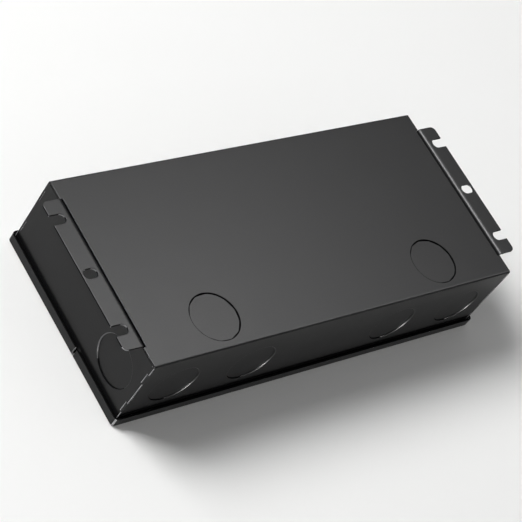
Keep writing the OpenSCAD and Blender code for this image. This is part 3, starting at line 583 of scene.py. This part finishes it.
def ring_winding(tree, given):
    """Turns of wire side by side round two opposite parts of a ring."""
    loop = add_node(tree, "GeometryNodeCurvePrimitiveQuadrilateral",
                    {"Width": given["Turn width"], "Height": given["Turn height"]})
    loop = add_node(tree, "GeometryNodeFilletCurve",
                    {"Curve": loop.outputs[0], "Radius": given["Bend radius"], "Count": 4}, mode="POLY")
    wire = add_node(tree, "GeometryNodeCurvePrimitiveCircle",
                    {"Radius": given["Wire radius"], "Resolution": 10})
    turn = add_node(tree, "GeometryNodeCurveToMesh",
                    {"Curve": loop.outputs[0], "Profile Curve": wire.outputs[0]})
    halves = []
    for start in ("First start", "Second start"):
        arc = add_node(tree, "GeometryNodeCurveArc",
                       {"Radius": given["Middle radius"], "Start Angle": given[start],
                        "Sweep Angle": given["Sweep"], "Resolution": 64})
        spots = add_node(tree, "GeometryNodeCurveToPoints",
                         {"Curve": arc.outputs[0], "Count": given["Turns"]})
        halves.append(add_node(tree, "GeometryNodeInstanceOnPoints",
                               {"Points": spots.outputs["Points"], "Instance": turn.outputs[0],
                                "Rotation": spots.outputs["Rotation"]}).outputs[0])
    return add_node(tree, "GeometryNodeJoinGeometry", {"Geometry": halves}).outputs[0]


def middle_of(node):
    """The middle of a CAD node's box in millimetres."""
    low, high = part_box(node)
    return (Vector(low) + Vector(high)) / 2 / MM


add_piece("wound_choke",
          grow("choke_windings", [middle_of("choke_windings")], CHOKE_SIZES, copper, ring_winding),
          "choke_windings")


# Power-factor stage: a flat bridge rectifier, a boost inductor wound on a ferrite core, a switch
# screwed to its heat sink, a small control chip and two sleeved electrolytic capacitors, all
# soldered to the board.
for node in ("bridge_rectifier", "switch_transistor", "control_chip"):
    dress(node, black_epoxy)
dress("boost_core", ferrite)
BOOST_OUTER_R_MM, BOOST_INNER_R_MM, BOOST_H_MM, BOOST_WIRE_R_MM = 8.2, 4.65, 9.4, 0.42
RUN_R_MM = BOOST_OUTER_R_MM - BOOST_WIRE_R_MM
RISE_MM = BOOST_H_MM - 2 * BOOST_WIRE_R_MM
BOOST_SIZES = {"Turns": 10, "Wire radius": BOOST_WIRE_R_MM, "Run radius": RUN_R_MM, "Rise": RISE_MM,
               "Run place": (0, 0, -RISE_MM / 2), "Fill width": RUN_R_MM - BOOST_INNER_R_MM,
               "Fill radius": (RUN_R_MM + BOOST_INNER_R_MM) / 2}


def coil_winding(tree, given):
    """A coil whose outer layer is one wire wound turn beside turn, over the filled layers below."""
    helix = add_node(tree, "GeometryNodeCurveSpiral",
                     {"Rotations": given["Turns"], "Start Radius": given["Run radius"],
                      "End Radius": given["Run radius"], "Height": given["Rise"], "Resolution": 48})
    wire = add_node(tree, "GeometryNodeCurvePrimitiveCircle",
                    {"Radius": given["Wire radius"], "Resolution": 10})
    outer = add_node(tree, "GeometryNodeCurveToMesh",
                     {"Curve": helix.outputs[0], "Profile Curve": wire.outputs[0], "Fill Caps": True})
    outer = add_node(tree, "GeometryNodeTransform",
                     {"Geometry": outer.outputs[0], "Translation": given["Run place"]})
    ring = add_node(tree, "GeometryNodeCurvePrimitiveCircle",
                    {"Radius": given["Fill radius"], "Resolution": 64})
    section = add_node(tree, "GeometryNodeCurvePrimitiveQuadrilateral",
                       {"Width": given["Fill width"], "Height": given["Rise"]})
    inner = add_node(tree, "GeometryNodeCurveToMesh",
                     {"Curve": ring.outputs[0], "Profile Curve": section.outputs[0]})
    layers = [outer.outputs[0], inner.outputs[0]]
    return add_node(tree, "GeometryNodeJoinGeometry", {"Geometry": layers}).outputs[0]


add_piece("wound_boost_inductor",
          grow("boost_winding", [middle_of("boost_winding")], BOOST_SIZES, copper, coil_winding),
          "boost_winding")
# Brushed aluminium: pale, with fine lines along the plate.
aluminium = surface("brushed_aluminium", "#8b8f93", "#c3c6c9", grain_mm=0.5,
                    roughness=(0.28, 0.42), metallic=1.0, stretch=(1, 0.06, 1))
dress("input_heat_sink", aluminium)
# Shrink sleeve: a glossy dark blue with a paler stripe down the minus side, open at the can's end.
STRIPE_FACING, END_FACING = -0.94, -0.97
sleeve = surface("dark_blue_shrink_sleeve", "#141b2b", "#222d45", grain_mm=2.5, roughness=(0.22, 0.34))
can = sleeve.node_tree
facing = add_node(can, "ShaderNodeSeparateXYZ", {0: add_node(can, "ShaderNodeNewGeometry").outputs["Normal"]})
stripe = add_node(can, "ShaderNodeMath", {0: facing.outputs["Y"], 1: STRIPE_FACING}, operation="LESS_THAN")
pattern(sleeve, stripe.outputs[0], "#9aa3b5")
bare = add_node(can, "ShaderNodeMath", {0: facing.outputs["Z"], 1: END_FACING}, operation="LESS_THAN")
pattern(sleeve, bare.outputs[0], "#b9bcc0")
feed(can.nodes["Principled BSDF"], {"Metallic": bare.outputs[0]})
dress("bulk_capacitors", sleeve)


# Transformer: a ferrite core glued round a moulded bobbin, its winding wrapped in tape, and the
# small optocoupler that carries the feedback across the gap.
dress("transformer_core", ferrite)
# Bobbin plastic: a dark blue-grey, half matt.
bobbin_plastic = surface("dark_bobbin_plastic", "#171e2e", "#263249", grain_mm=0.7,
                         roughness=(0.4, 0.55))
dress("transformer_bobbin", bobbin_plastic)
# Polyester tape: a glossy yellow, darker along the edge of each lap.
LAP_MM = 3.0
LAP_EDGE = 0.9
tape = surface("yellow_polyester_tape", "#b48f22", "#d9b53a", grain_mm=1.0, roughness=(0.22, 0.4))
tape_place = add_node(tape.node_tree, "ShaderNodeTexCoord").outputs["Object"]
# At a scale of one, this texture's wave is a tenth of pi long.
laps = add_node(tape.node_tree, "ShaderNodeTexWave",
                {"Vector": tape_place, "Scale": math.pi / (10 * LAP_MM * MM)},
                bands_direction="Z", wave_profile="SAW")
edge = add_node(tape.node_tree, "ShaderNodeMath", {0: laps.outputs["Fac"], 1: LAP_EDGE},
                operation="GREATER_THAN")
pattern(tape, edge.outputs[0], "#7d6116")
dress("transformer_winding", tape)
# White moulding plastic: an even off-white, half matt.
white_plastic = surface("white_moulded_plastic", "#c9c7bf", "#e6e4dd", grain_mm=0.4,
                        roughness=(0.4, 0.58))
dress("optocoupler", white_plastic)


# Output: the moulded rectifier on its own aluminium heat sink, and three sleeved electrolytic
# capacitors. The screws clamp both power devices to their heat sinks.
dress("output_rectifier", black_epoxy)
dress("output_heat_sink", aluminium)
dress("output_capacitors", sleeve)
screws("device_screws", shank_l=5.3, lying=True)
